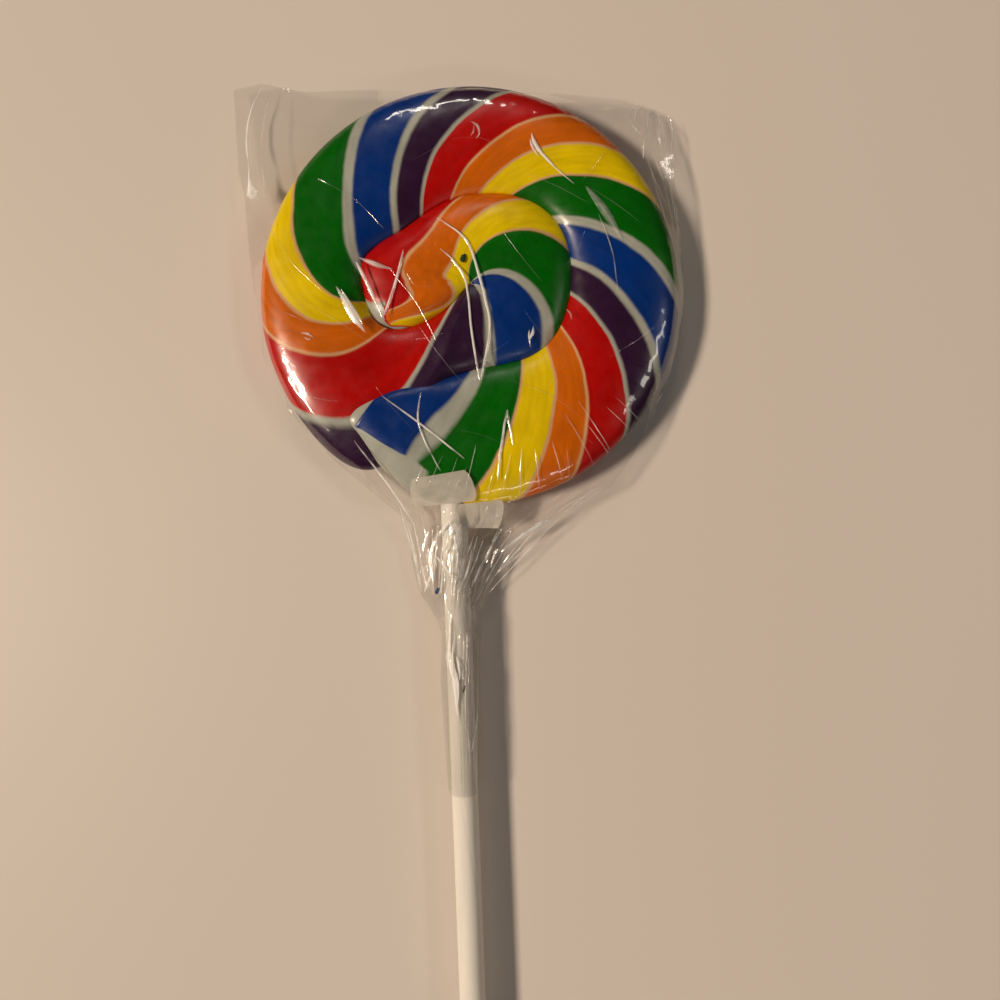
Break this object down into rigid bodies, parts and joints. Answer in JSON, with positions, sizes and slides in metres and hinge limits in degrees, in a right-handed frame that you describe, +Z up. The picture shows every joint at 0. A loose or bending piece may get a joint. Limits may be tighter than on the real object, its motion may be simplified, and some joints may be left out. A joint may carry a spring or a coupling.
{
  "type": "swirl lollipop",
  "caption": "Round flat lollipop of one twisted rainbow candy rope coiled in a spiral, on a white stick, in a clear bag gathered round the stick.",
  "frame": {"origin": "on the resting plane, under the middle of the round head", "axes": "+Z up, away from the surface that the lollipop lies on, out of the side that shows; the stick runs along -Y"},
  "size_m": [0.0821, 0.1751, 0.0098],
  "materials": {
    "candy": "glossy boiled sugar in red, orange, yellow, green, blue and purple bands with white lines",
    "stick": "smooth white rolled paper",
    "film": "clear glossy crinkled film",
    "label": "white print on the film, left bare"
  },
  "bodies": {
    "root": {"candy": "candy", "stick": "stick", "wrapper": "film"}
  },
  "joints": []
}
